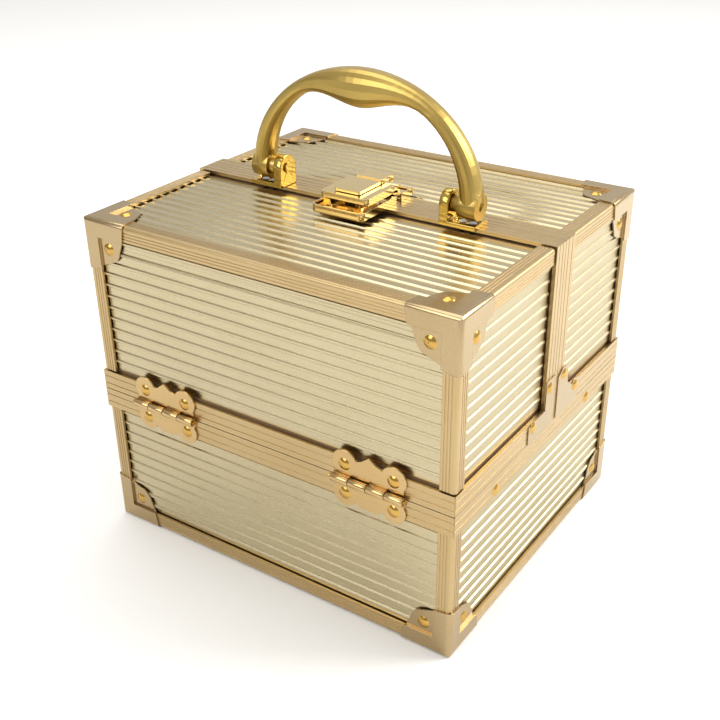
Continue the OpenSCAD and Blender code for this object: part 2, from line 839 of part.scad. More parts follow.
// One leaf at the origin: pin along X, case wall on the +Y side. first is the first knuckle it owns.
module leaf(first) {
    knuckle_l = hinge_l / knuckle_n;
    wall_y = knuckle_d / 2 + knuckle_gap;
    tab = 0.2;
    z_dir = first == 0 ? 1 : -1;
    difference() {
        union() {
            translate([0, wall_y, 0]) rotate([90, 0, 0]) linear_extrude(leaf_t) {
                if (first == 0) lid_leaf_outline();
                if (first == 1) base_leaf_outline();
            }
            for (k = [first:2:knuckle_n - 1])
                translate([-hinge_l / 2 + k * knuckle_l + 0.15, 0, 0]) {
                    rotate([0, 90, 0]) cylinder(h = knuckle_l - 0.3, d = knuckle_d);
                    translate([0, wall_y - leaf_t, z_dir > 0 ? tab : -knuckle_d / 2 - 1])
                        cube([knuckle_l - 0.3, leaf_t, knuckle_d / 2 + 1 - tab]);
                }
        }
        rotate([0, 90, 0]) cylinder(h = hinge_l + 2, d = hinge_pin_d + 2 * fit_gap, center = true);
        for (end = [-1, 1])
            translate([end * hinge_rivet_gap / 2, 0, z_dir * hinge_rivet_z])
                rotate([90, 0, 0]) cylinder(h = 12, d = shank_d + 2 * fit_gap, center = true);
    }
}
module at_hinges(y_side) {
    for (x_side = [-1, 1])
        rotate([0, 0, y_side > 0 ? 180 : 0])
            translate([x_side * hinge_x, -hinge_y, belt_z]) children();
}
module hinge_base_leaves() { color(gold_bright) for (y_side = [-1, 1]) at_hinges(y_side) leaf(1); }
module front_hinge_lid_leaves() { color(gold_bright) at_hinges(-1) leaf(0); }
module rear_hinge_lid_leaves() { color(gold_bright) at_hinges(1) leaf(0); }
module hinge_pins() {
    color(gold_handle) for (y_side = [-1, 1]) at_hinges(y_side)
        translate([-hinge_l / 2 - 1.2, 0, 0]) rotate([0, 90, 0])
            cylinder(h = hinge_l + 1.6, d = hinge_pin_d);
}

// ---------- handle ----------

handle_rings = 44;
handle_sides = 20;
function blend(t) = let (c = min(max(t, 0), 1)) c * c * (3 - 2 * c);
function palm_share(a) = abs(a - 90) < 36 ? (1 + cos(180 * abs(a - 90) / 36)) / 2 : 0;
function grip_t(a) =
    leg_t + (neck_t - leg_t) * blend((90 - abs(a - 90)) / 55) + (palm_t - neck_t) * palm_share(a);
function grip_w(a) =
    leg_w - 2 * blend((90 - abs(a - 90)) / 50) + (palm_w - leg_w + 2) * palm_share(a);

// Outward normal of the arch's outer curve, an ellipse round the pivots
function arch_normal(a) =
    let (n = [cos(a) / (handle_l / 2), sin(a) / handle_rise]) n / norm(n);

// Ring of the grip at angle a: a rounded section, flatter on its sides than an ellipse
function grip_ring(a) =
    let (
        n = arch_normal(a),
        mid = [cos(a) * handle_l / 2, sin(a) * handle_rise] - n * grip_t(a) / 2
    )
    [for (k = [0:handle_sides - 1]) let (
        s = 360 * k / handle_sides,
        u = sign(cos(s)) * pow(abs(cos(s)), 0.8) * grip_t(a) / 2,
        v = sign(sin(s)) * pow(abs(sin(s)), 0.8) * grip_w(a) / 2
    ) [mid[0] + n[0] * u, v, mid[1] + n[1] * u]];

module grip_sweep() {
    points = [for (r = [0:handle_rings]) each grip_ring(180 * r / handle_rings)];
    sides = [for (r = [0:handle_rings - 1], k = [0:handle_sides - 1])
        let (
            here = r * handle_sides,
            there = here + handle_sides,
            next = (k + 1) % handle_sides
        )
        each [[there + k, there + next, here + next], [there + k, here + next, here + k]]];
    first_end = [for (k = [0:handle_sides - 1]) k];
    last_end = [for (k = [handle_sides - 1:-1:0]) handle_rings * handle_sides + k];
    polyhedron(points, concat([first_end], sides, [last_end]), convexity = 6);
}
module handle_grip() {
    boss_x = bracket_in_x + cheek_t + foot_gap;
    leg_in_x = handle_l / 2 - leg_t;
    color(gold_handle) translate([0, pivot_y, pivot_z]) difference() {
        union() {
            grip_sweep();
            both_ends() {
                translate([leg_in_x, 0, 0]) rotate([0, 90, 0]) cylinder(h = leg_t - 0.4, r = foot_r);
                translate([boss_x, 0, 0]) rotate([0, 90, 0]) cylinder(h = leg_in_x - boss_x + 1, d = pivot_d + 5);
            }
        }
        rotate([0, 90, 0]) cylinder(h = case_l, d = pivot_d + 2 * fit_gap, center = true);
    }
}

// Bracket: a plate with a well under the foot, and one cheek with a round top inside the leg
well_x = (bracket_in_x + cheek_t + bracket_out_x) / 2;
module bracket_screw_places() {
    for (x_side = [-1, 1], part = [-1, 1])
        translate([x_side * well_x + part * 2.6, pivot_y, frame_top_z + 1]) children();
}
module handle_brackets() {
    low = frame_top_z;
    cheek_top_r = 6.2;
    color(gold_bright) both_ends() difference() {
        union() {
            translate([bracket_in_x, pivot_y - bracket_w / 2, low])
                cube([bracket_out_x - bracket_in_x, bracket_w, bracket_base_t]);
            translate([bracket_in_x, pivot_y, 0]) {
                translate([0, -bracket_w / 2, low]) cube([cheek_t, bracket_w, pivot_z - low]);
                translate([0, 0, pivot_z]) rotate([0, 90, 0]) cylinder(h = cheek_t, r = cheek_top_r);
            }
        }
        translate([well_x, pivot_y, low + 1]) linear_extrude(bracket_base_t) {
            for (end = [-1, 1]) translate([end * 2.6, 0]) circle(3.5);
            square([5.2, 7], center = true);
        }
        translate([0, pivot_y, pivot_z]) rotate([0, 90, 0])
            cylinder(h = case_l, d = pivot_d + 2 * fit_gap, center = true);
        bracket_screw_places() rivet_hole(screw_l);
    }
}
module handle_bracket_screws() {
    color(steel) bracket_screw_places() {
        cylinder(h = 0.5, d = 3.6);
        translate([0, 0, -screw_l]) cylinder(h = screw_l + eps, d = 2);
    }
}
module handle_pivot_pins() {
    color(gold_handle) both_ends() translate([bracket_in_x - 1, pivot_y, pivot_z]) rotate([0, 90, 0]) {
        cylinder(h = handle_l / 2 - bracket_in_x - 0.4, d = pivot_d);
        cylinder(h = 0.9, d = pivot_d + 2);
    }
}

// ---------- latch ----------

module lock_rivet_places() {
    for (x_side = [-1, 1]) translate([x_side * 9.6, front_mouth_y - 4.5, latch_floor_z]) children();
}
module catch_rivet_places() {
    for (x_side = [-1, 1]) translate([x_side * 9.6, catch_front_y + 3.8, latch_floor_z]) children();
}

// Rectangle from the origin, with corners of radius r
module round_square(size, r) {
    translate([r, 0]) square([size[0] - 2 * r, size[1]]);
    translate([0, r]) square([size[0], size[1] - 2 * r]);
    for (x = [r, size[0] - r], y = [r, size[1] - r]) translate([x, y]) circle(r);
}

// Latch plate with raised rims, from Y = 0 to its rounded far end at Y = reach
module rimmed_plate(reach, end_rim) {
    rim_t = 0.8;
    round_r = 2.5;
    difference() {
        translate([-latch_w / 2, -5, 0]) linear_extrude(rim_h) round_square([latch_w, reach + 5], round_r);
        translate([-latch_w, -10, -1]) cube([2 * latch_w, 10, 2 * rim_h]);
        translate([-latch_w / 2 + rim_t, -5, latch_sheet]) linear_extrude(rim_h)
            round_square([latch_w - 2 * rim_t, reach + 5 - (end_rim ? rim_t : -5)], round_r - rim_t);
    }
}
module latch_rivet() {
    cylinder(h = 0.6, d = 4);
    translate([0, 0, -latch_rivet_l]) cylinder(h = latch_rivet_l + eps, d = shank_d);
}
module lock_tray() {
    color(gold_bright) difference() {
        translate([0, front_mouth_y - 0.2, frame_top_z]) rotate([0, 0, 180]) rimmed_plate(lock_reach - 0.2, true);
        lock_rivet_places() rivet_hole(2);
    }
}
module lock_tray_rivets() { color(gold_handle) lock_rivet_places() latch_rivet(); }

module cross_pin(y, z, d, length) {
    translate([-length / 2, y, z]) rotate([0, 90, 0]) cylinder(h = length, d = d);
}
module cross_hole(y, z, d) { cross_pin(y, z, d + 2 * fit_gap, 60); }

// Plate on the rear lid, with a tongue rolled round its pin that the lever snaps down to
module catch_plate() {
    back_y = catch_pin_y + 0.6;
    color(gold_bright) difference() {
        union() {
            translate([0, catch_front_y, frame_top_z])
                rimmed_plate(rear_mouth_y + catch_reach - catch_front_y, false);
            cross_pin(catch_pin_y, catch_pin_z, catch_knuckle_d, tongue_w);
            side_prism(tongue_w / 2, [
                [catch_front_y + 0.6, catch_pin_z + 0.1], [catch_front_y + 0.6, catch_pin_z - 0.7],
                [catch_pin_y - 1.6, catch_pin_z - 0.5], [catch_pin_y - 0.8, latch_floor_z - 0.2],
                [back_y, latch_floor_z - 0.2], [catch_pin_y, catch_pin_z + 0.5]]);
        }
        catch_rivet_places() rivet_hole(2);
        cross_hole(catch_pin_y, catch_pin_z, hasp_pin_d);
    }
}
module catch_plate_rivets() { color(gold_handle) catch_rivet_places() latch_rivet(); }
module catch_pin() { color(gold_handle) cross_pin(catch_pin_y, catch_pin_z, hasp_pin_d, latch_w + 0.6); }

// Two lugs in the lock tray that hold the hasp's pin, each on its own foot
module hasp_bracket() {
    stem_y = hasp_pin_y - 0.6;
    foot_l = 5.4;
    color(gold_handle) difference() {
        both_ends() translate([lever_w / 2 + lug_gap, 0, 0]) {
            translate([0, stem_y, latch_floor_z]) {
                cube([lug_t, hasp_pin_y + hasp_lug_r - stem_y, hasp_pin_z - latch_floor_z]);
                cube([3.6, foot_l, 0.7]);
            }
            translate([0, hasp_pin_y, hasp_pin_z]) rotate([0, 90, 0]) cylinder(h = lug_t, r = hasp_lug_r);
        }
        cross_hole(hasp_pin_y, hasp_pin_z, hasp_pin_d);
    }
}
module hasp_pin() {
    color(gold_handle) cross_pin(hasp_pin_y, hasp_pin_z, hasp_pin_d, lever_w + 2 * (lug_gap + lug_t) + 0.8);
}
module lever_pin() { color(gold_handle) cross_pin(lever_pin_y, lever_pin_z, lever_pin_d, lever_w + 0.5); }

// Pressed pan with turned-down edges, a tab that is rolled round the pin, and an arm to the lever
module hasp() {
    inner_w = hasp_w - 2 * latch_sheet;
    lug_r = 1.2;
    color(gold_bright) difference() {
        union() {
            difference() {
                translate([-hasp_w / 2, hasp_front_y, hasp_low_z])
                    linear_extrude(hasp_h) round_square([hasp_w, hasp_back_y - hasp_front_y], 2);
                translate([-inner_w / 2, hasp_front_y + latch_sheet, hasp_low_z - 1])
                    linear_extrude(hasp_h + 1 - hasp_sheet) round_square([inner_w, case_w], 1.2);
            }
            translate([-lever_w / 2, hasp_front_y, hasp_pin_z - hasp_lug_r])
                cube([lever_w, latch_sheet, hasp_low_z - hasp_pin_z + hasp_lug_r + 0.5]);
            side_prism(lever_w / 2, [
                [hasp_front_y, hasp_pin_z - hasp_lug_r], [hasp_pin_y, hasp_pin_z - hasp_lug_r],
                [hasp_pin_y, hasp_pin_z - hasp_lug_r + 0.8], [hasp_front_y, hasp_pin_z - hasp_lug_r + 0.8]]);
            cross_pin(hasp_pin_y, hasp_pin_z, 2 * hasp_lug_r, lever_w);
            side_prism(strap_w / 2, [
                [hasp_back_y - 1, hasp_top_z], [hasp_back_y - 1, hasp_top_z - hasp_sheet],
                [lever_pin_y, lever_pin_z - lug_r], [lever_pin_y, lever_pin_z + 0.1]]);
            cross_pin(lever_pin_y, lever_pin_z, 2 * lug_r, strap_w);
        }
        cross_hole(hasp_pin_y, hasp_pin_z, hasp_pin_d);
        cross_hole(lever_pin_y, lever_pin_z, lever_pin_d);
    }
}

// Lever on the hasp: a flat pad, and behind its step a saddle whose ears hold the pin
module latch_lever() {
    front_y = hasp_front_y + 3;
    back_y = lever_pin_y + 1.6;
    ear_t = 0.8;
    ear_r = 1.3;
    color(gold_bright) difference() {
        union() {
            translate([-lever_w / 2, front_y, lever_low_z])
                linear_extrude(lever_top_z - lever_low_z) round_square([lever_w, lever_step_y - front_y], 0.8);
            translate([-lever_w / 2 + 1, lever_step_y - 1, lever_low_z]) cube([lever_w - 2, 2, 1.2]);
            translate([-lever_w / 2, lever_step_y + 0.3, lever_top_z - 0.3])
                cube([lever_w, back_y - lever_step_y - 0.3, 0.8]);
            for (x = [-lever_w / 2, lever_w / 2 - ear_t]) {
                translate([x, lever_step_y + 0.3, lever_low_z])
                    cube([ear_t, back_y - lever_step_y - 0.3, lever_top_z - lever_low_z]);
                translate([x, lever_pin_y, lever_pin_z]) {
                    rotate([0, 90, 0]) cylinder(h = ear_t, r = ear_r);
                    translate([0, -ear_r, 0]) cube([ear_t, 2 * ear_r, lever_top_z - lever_pin_z]);
                }
            }
        }
        cross_hole(lever_pin_y, lever_pin_z, lever_pin_d);
    }
}

// ---------- trays and their arms ----------

// Front tray; the rear one is the same up to its middle edge, turned half round
module tray_box(mouth, part) {
    x = tray_half_x;
    front = -tray_out_y;
    back = mouth - tray_mid_gap;
    divider_n = 3;
    r_pin = [-arm_y + crank_y, arm_z + crank_z];
    if (part == "floor")
        translate([-x + tray_t, front + tray_t, tray_low_z])
            cube([2 * (x - tray_t), back - front - 2 * tray_t, tray_t]);
    if (part == "walls") {
        for (y = [front, back - tray_t])
            translate([-x + tray_t, y, tray_low_z]) cube([2 * (x - tray_t), tray_t, tray_h]);
        both_ends() difference() {
            translate([x - tray_t, front, tray_low_z]) cube([tray_t, back - front, tray_h]);
            at_lid_tray_pin() tray_pin_hole();
            translate([0, r_pin[0], r_pin[1]]) rotate([0, 90, 0])
                cylinder(h = case_l, d = tray_pin_d + 2 * tray_pin_gap);
        }
    }
    if (part == "dividers")
        for (k = [1:divider_n])
            translate([-x + 2 * x * k / (divider_n + 1) - 0.75, front + tray_t, tray_low_z + tray_t])
                cube([1.5, back - front - 2 * tray_t, tray_h - tray_t - 6]);
}
module front_tray_floor() { color(black_tray) tray_box(front_mouth_y, "floor"); }
module front_tray_walls() { color(black_tray) tray_box(front_mouth_y, "walls"); }
module front_tray_dividers() { color(black_tray) tray_box(front_mouth_y, "dividers"); }
module rear_tray_floor() { color(black_tray) rear() tray_box(turned_mouth_y, "floor"); }
module rear_tray_walls() { color(black_tray) rear() tray_box(turned_mouth_y, "walls"); }
module rear_tray_dividers() { color(black_tray) rear() tray_box(turned_mouth_y, "dividers"); }

// Pivot of the tray in the right end of the front lid
module at_lid_tray_pin() {
    translate([half_x - wall_in, -hinge_y + crank_y, belt_z + crank_z]) rotate([0, 90, 0]) children();
}
// Hole for that pin, from inside the tray to the back of the ribbed skin
module tray_pin_hole() {
    translate([0, 0, -12]) cylinder(h = 12 + board_t, d = tray_pin_d + 2 * tray_pin_gap);
}
module lid_tray_pins() {
    length = board_t + (half_x - wall_in) - (tray_half_x - tray_t);
    both_ends() at_lid_tray_pin() {
        translate([0, 0, -(half_x - wall_in) + tray_half_x - tray_t - 0.6]) {
            cylinder(h = length + 0.6, d = tray_pin_d);
            cylinder(h = 0.5, d = tray_pin_d + 2);
        }
    }
}
module front_lid_tray_pins() { color(steel) lid_tray_pins(); }
module rear_lid_tray_pins() { color(steel) rear() lid_tray_pins(); }

// Arm between the base pin and the tray, with the tray's pin riveted into its far end
module tray_arms() {
    far = [crank_y, crank_z];
    both_ends() translate([arm_out_x - arm_t, -arm_y, arm_z]) rotate([90, 0, 90]) {
        difference() {
            linear_extrude(arm_t) hull() {
                circle(arm_w / 2, $fn = 32);
                translate(far) circle(arm_w / 2 - 1.5, $fn = 32);
            }
            translate([0, 0, -1]) cylinder(h = 4, d = tray_pin_d + 2 * tray_pin_gap);
        }
        translate([far[0], far[1], -tray_t - side_gap - 0.6]) {
            cylinder(h = tray_t + side_gap + 0.6 + arm_t / 2, d = tray_pin_d);
            cylinder(h = 0.5, d = tray_pin_d + 2);
        }
    }
}
module front_tray_arms() { color(steel) tray_arms(); }
module rear_tray_arms() { color(steel) rear() tray_arms(); }

// Pins of the arms, riveted through the base's mouth frame
module at_arm_pins() {
    for (x_turn = [0, 1], y_side = [-1, 1])
        mirror([x_turn, 0, 0])
            translate([half_x + frame_proud, y_side * arm_y, arm_z]) rotate([0, 90, 0]) children();
}
module arm_pin_holes() {
    at_arm_pins() cylinder(h = 30, d = tray_pin_d + 2 * tray_pin_gap, center = true);
}
module base_arm_pins() {
    inner = half_x + frame_proud - (arm_out_x - arm_t) + 0.4;
    color(gold_handle) at_arm_pins() {
        rivet(1);
        translate([0, 0, -inner]) cylinder(h = inner, d = tray_pin_d);
        translate([0, 0, -inner - 0.5]) cylinder(h = 0.6, d = tray_pin_d + 1.6);
    }
}

base_front_panel();
base_rear_panel();
base_end_panels();
base_floor();
base_boards();
base_rails();
base_corner_caps();
base_cap_rivets();
base_mouth_frame();
base_lining();
front_lid_front_panel();
front_lid_top_panel();
front_lid_end_panels();
front_lid_rails();
front_lid_corner_caps();
front_lid_rivets();
front_lid_mouth_frame();
front_lid_joint_plates();
front_lid_boards();
front_lid_lining();
rear_lid_rear_panel();
rear_lid_top_panel();
rear_lid_end_panels();
rear_lid_rails();
rear_lid_corner_caps();
rear_lid_rivets();
rear_lid_mouth_frame();
rear_lid_joint_plates();
rear_lid_boards();
rear_lid_lining();
mirror_glass();  // mirror
hinge_base_leaves();
hinge_pins();
front_hinge_lid_leaves();
rear_hinge_lid_leaves();
handle_grip();
handle_brackets();
handle_pivot_pins();
handle_bracket_screws();
lock_tray();
lock_tray_rivets();
catch_plate();
catch_plate_rivets();
catch_pin();
hasp_bracket();
hasp_pin();
hasp();
lever_pin();
latch_lever();
front_tray_floor();
front_tray_walls();
front_tray_dividers();
rear_tray_floor();
rear_tray_walls();
rear_tray_dividers();
front_tray_arms();
rear_tray_arms();
front_lid_tray_pins();
rear_lid_tray_pins();
base_arm_pins();
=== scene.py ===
"""Looks of the makeup train case: finishes, fine detail, studio and camera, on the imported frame."""

import json
import logging
import math
from dataclasses import dataclass, field
from enum import Enum

import bmesh
import bpy
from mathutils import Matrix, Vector, noise

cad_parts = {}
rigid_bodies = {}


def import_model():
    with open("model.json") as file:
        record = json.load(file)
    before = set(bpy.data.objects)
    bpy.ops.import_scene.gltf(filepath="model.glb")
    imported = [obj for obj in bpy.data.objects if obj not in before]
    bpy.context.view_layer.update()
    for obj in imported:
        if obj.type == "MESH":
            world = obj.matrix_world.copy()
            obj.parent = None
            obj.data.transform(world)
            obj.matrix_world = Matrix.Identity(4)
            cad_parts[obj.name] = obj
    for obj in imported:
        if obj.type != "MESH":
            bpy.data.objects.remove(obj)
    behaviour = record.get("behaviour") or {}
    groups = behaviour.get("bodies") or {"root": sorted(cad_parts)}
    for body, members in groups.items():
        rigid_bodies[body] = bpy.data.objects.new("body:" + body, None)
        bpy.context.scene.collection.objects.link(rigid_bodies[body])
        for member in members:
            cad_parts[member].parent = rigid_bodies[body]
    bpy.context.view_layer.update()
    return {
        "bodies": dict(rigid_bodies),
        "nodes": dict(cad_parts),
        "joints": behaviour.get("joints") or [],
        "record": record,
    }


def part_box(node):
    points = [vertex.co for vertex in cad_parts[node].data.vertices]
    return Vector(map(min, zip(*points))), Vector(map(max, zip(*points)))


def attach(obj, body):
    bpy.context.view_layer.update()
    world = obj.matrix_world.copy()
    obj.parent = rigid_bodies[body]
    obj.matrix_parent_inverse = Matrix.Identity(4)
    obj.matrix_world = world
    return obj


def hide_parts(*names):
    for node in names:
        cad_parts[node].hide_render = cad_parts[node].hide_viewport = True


MM = 0.001
LOG = logging.getLogger("train_case")
noise.seed_set(7)

Tree = bpy.types.NodeTree
Socket = bpy.types.NodeSocket
Rgba = tuple[float, float, float, float]
Place = tuple[float, float, float]


class Run(Enum):
    """Direction that a finish's drawing or brushing lines run along, as the pattern's scale per axis."""

    X = (0.02, 1.0, 1.0)
    Y = (1.0, 0.02, 1.0)
    NONE = (1.0, 1.0, 1.0)


def linear(hex_code: str) -> Rgba:
    """Turns an sRGB hex colour into linear RGBA.

    Args:
        hex_code: Six hex digits, such as "C8BB96".

    Returns:
        Linear red, green, blue and an alpha of 1.
    """
    channels = [int(hex_code[i : i + 2], 16) / 255 for i in (0, 2, 4)]
    return (*[c / 12.92 if c <= 0.04045 else ((c + 0.055) / 1.055) ** 2.4 for c in channels], 1.0)


def add_node(tree: Tree, kind: str, inputs: dict | None = None, **settings: object) -> bpy.types.Node:
    """Adds a shader node, sets it up and links it.

    Args:
        tree: Node tree to add to.
        kind: Blender's type name of the node.
        inputs: Input name or index to a value, or to the output socket it takes.
        settings: Properties of the node.

    Returns:
        The new node.
    """
    node = tree.nodes.new(kind)
    for name, value in settings.items():
        setattr(node, name, value)
    for key, value in (inputs or {}).items():
        if isinstance(value, Socket):
            tree.links.new(value, node.inputs[key])
        else:
            node.inputs[key].default_value = value
    return node


def noise_value(tree: Tree, size_mm: float, run: Run = Run.NONE, detail: float = 3.0) -> Socket:
    """Noise with features of a stated size on the real object.

    Args:
        tree: Node tree to add to.
        size_mm: Size of the features.
        run: Direction that they are drawn out along.
        detail: Octaves of finer detail.

    Returns:
        A value output socket between 0 and 1.
    """
    coordinates = add_node(tree, "ShaderNodeTexCoord")
    scale = [share / (size_mm * MM) for share in run.value]
    mapping = add_node(tree, "ShaderNodeMapping", {"Vector": coordinates.outputs["Object"], "Scale": scale})
    inputs = {"Vector": mapping.outputs["Vector"], "Scale": 1.0, "Detail": detail}
    return add_node(tree, "ShaderNodeTexNoise", inputs).outputs["Fac"]


def noise_range(low: float, high: float) -> dict[str, float]:
    """Settings of a range map from the values that noise takes most often.

    Args:
        low: Result at the low end of the noise.
        high: Result at its high end.

    Returns:
        Input names to values.
    """
    usual_low, usual_high = 0.2, 0.8
    return {"From Min": usual_low, "From Max": usual_high, "To Min": low, "To Max": high}


def new_material(name: str) -> tuple[bpy.types.Material, Tree]:
    """Starts an empty material.

    Args:
        name: Name of the real material and its process.

    Returns:
        The material and its node tree.
    """
    material = bpy.data.materials.new(name)
    material.use_nodes = True
    material.node_tree.nodes.clear()
    return material, material.node_tree


def close_material(material: bpy.types.Material, inputs: dict) -> bpy.types.Material:
    """Gives a material its surface shader and its output.

    Args:
        material: Material that the patterns are already in.
        inputs: Inputs of the surface shader.

    Returns:
        The same material.
    """
    tree = material.node_tree
    surface = add_node(tree, "ShaderNodeBsdfPrincipled", inputs)
    add_node(tree, "ShaderNodeOutputMaterial", {"Surface": surface.outputs[0]})
    return material


@dataclass(frozen=True)
class GoldMetal:
    """Gold-toned metal: anodised, plated or polished.

    Args:
        name: Name of the material and its process.
        color: Colour of the finish.
        worn: Colour that it drifts towards in soft patches.
        roughness: Lowest and highest roughness.
        grain_mm: Size of the grain, or the distance between brushing lines.
        run: Direction of the brushing lines.
        grain_depth_mm: Depth of the grain.
        edge_mm: Radius that the light sees on edges, 0 for none.
        patch_mm: Size of the soft patches, as wide as a hand's touch.
        patch_share: How far a patch goes to the worn colour.
        streaks: Darkest and lightest share of the colour in the grain.
        grain_strength: Share of the grain's depth that shows.
    """

    name: str
    color: str
    worn: str
    roughness: tuple[float, float]
    grain_mm: float = 0.4
    run: Run = Run.NONE
    grain_depth_mm: float = 0.004
    edge_mm: float = 0.0
    patch_mm: float = 38.0
    patch_share: float = 0.55
    streaks: tuple[float, float] = (0.9, 1.06)
    grain_strength: float = 0.5

    def build(self) -> bpy.types.Material:
        """Builds the finish.

        Returns:
            The material.
        """
        material, tree = new_material(self.name)
        patches = noise_value(tree, self.patch_mm, detail=2.0)
        grain = noise_value(tree, self.grain_mm, self.run, detail=4.0)
        share = add_node(tree, "ShaderNodeMapRange", {"Value": patches} | noise_range(0.0, self.patch_share))
        tones = {0: share.outputs["Result"], 6: linear(self.color), 7: linear(self.worn)}
        tone = add_node(tree, "ShaderNodeMix", tones, data_type="RGBA")
        streak = add_node(tree, "ShaderNodeMapRange", {"Value": grain} | noise_range(*self.streaks))
        factors = {0: tone.outputs[2], 1: streak.outputs["Result"]}
        color = add_node(tree, "ShaderNodeVectorMath", factors, operation="MULTIPLY")
        relief = {"Height": grain, "Distance": self.grain_depth_mm * MM, "Strength": self.grain_strength}
        if self.edge_mm:
            soft = add_node(tree, "ShaderNodeBevel", {"Radius": self.edge_mm * MM}, samples=4)
            relief["Normal"] = soft.outputs[0]
        bump = add_node(tree, "ShaderNodeBump", relief)
        rough = add_node(tree, "ShaderNodeMapRange", {"Value": grain} | noise_range(*self.roughness))
        return close_material(material, {
            "Base Color": color.outputs[0], "Metallic": 1.0,
            "Roughness": rough.outputs["Result"], "Normal": bump.outputs[0]})


@dataclass(frozen=True)
class PileCloth:
    """Short-pile lining cloth.

    Args:
        name: Name of the material and its process.
        color: Colour of the pile.
        light: Colour of the brushed patches.
        pile_mm: Size of the pile's tufts.
        patch_mm: Size of the patches where the pile lies over, about a fingertip.
        pile_depth_mm: Height of the tufts.
    """

    name: str
    color: str
    light: str
    pile_mm: float = 0.35
    patch_mm: float = 22.0
    pile_depth_mm: float = 0.25

    def build(self) -> bpy.types.Material:
        """Builds the cloth.

        Returns:
            The material.
        """
        material, tree = new_material(self.name)
        tufts = noise_value(tree, self.pile_mm, detail=5.0)
        brushed = noise_value(tree, self.patch_mm, detail=3.0)
        both = add_node(tree, "ShaderNodeMath", {0: tufts, 1: brushed}, operation="MULTIPLY")
        share = add_node(tree, "ShaderNodeMapRange", {"Value": both.outputs[0]} | noise_range(0.0, 1.4))
        tones = {0: share.outputs["Result"], 6: linear(self.color), 7: linear(self.light)}
        color = add_node(tree, "ShaderNodeMix", tones, data_type="RGBA")
        relief = {"Height": tufts, "Distance": self.pile_depth_mm * MM, "Strength": 0.8}
        bump = add_node(tree, "ShaderNodeBump", relief)
        return close_material(material, {
            "Base Color": color.outputs[2], "Roughness": 0.95, "Normal": bump.outputs[0],
            "Sheen Weight": 0.45, "Sheen Roughness": 0.4, "Sheen Tint": linear("B8B4AE")})


@dataclass(frozen=True)
class Fibreboard:
    """Raw fibreboard behind the skins.

    Args:
        name: Name of the material and its process.
        color: Colour of the pressed fibres.
        dark: Colour of the darker fibres.
        fibre_mm: Width of a fibre bundle.
        fibre_depth_mm: Height of the fibres on the surface.
    """

    name: str
    color: str
    dark: str
    fibre_mm: float = 0.6
    fibre_depth_mm: float = 0.05

    def build(self) -> bpy.types.Material:
        """Builds the board.

        Returns:
            The material.
        """
        material, tree = new_material(self.name)
        fibres = noise_value(tree, self.fibre_mm, Run.X, detail=6.0)
        share = add_node(tree, "ShaderNodeMapRange", {"Value": fibres} | noise_range(0.0, 1.0))
        tones = {0: share.outputs["Result"], 6: linear(self.dark), 7: linear(self.color)}
        color = add_node(tree, "ShaderNodeMix", tones, data_type="RGBA")
        relief = {"Height": fibres, "Distance": self.fibre_depth_mm * MM, "Strength": 0.6}
        bump = add_node(tree, "ShaderNodeBump", relief)
        return close_material(
            material, {"Base Color": color.outputs[2], "Roughness": 0.85, "Normal": bump.outputs[0]})


@dataclass(frozen=True)
class SilveredGlass:
    """Mirror glass, bright on its flat faces and darker on its ground edge.

    Args:
        name: Name of the material and its process.
        silver: Colour of the silvered face.
        edge: Colour of the ground edge.
        haze_mm: Size of the faint smears on the glass.
    """

    name: str
    silver: str = "EDEFF0"
    edge: str = "5E7A74"
    haze_mm: float = 14.0

    def build(self) -> bpy.types.Material:
        """Builds the mirror's finish.

        Returns:
            The material.
        """
        material, tree = new_material(self.name)
        haze = noise_value(tree, self.haze_mm, detail=4.0)
        facing = add_node(tree, "ShaderNodeTexCoord").outputs["Normal"]
        height = add_node(tree, "ShaderNodeSeparateXYZ", {"Vector": facing}).outputs["Z"]
        flat = add_node(tree, "ShaderNodeMath", {0: height}, operation="ABSOLUTE").outputs[0]
        tones = {0: flat, 6: linear(self.edge), 7: linear(self.silver)}
        color = add_node(tree, "ShaderNodeMix", tones, data_type="RGBA")
        rough = add_node(tree, "ShaderNodeMapRange", {"Value": haze} | noise_range(0.01, 0.05))
        return close_material(material, {
            "Base Color": color.outputs[2], "Metallic": 1.0, "Roughness": rough.outputs["Result"]})


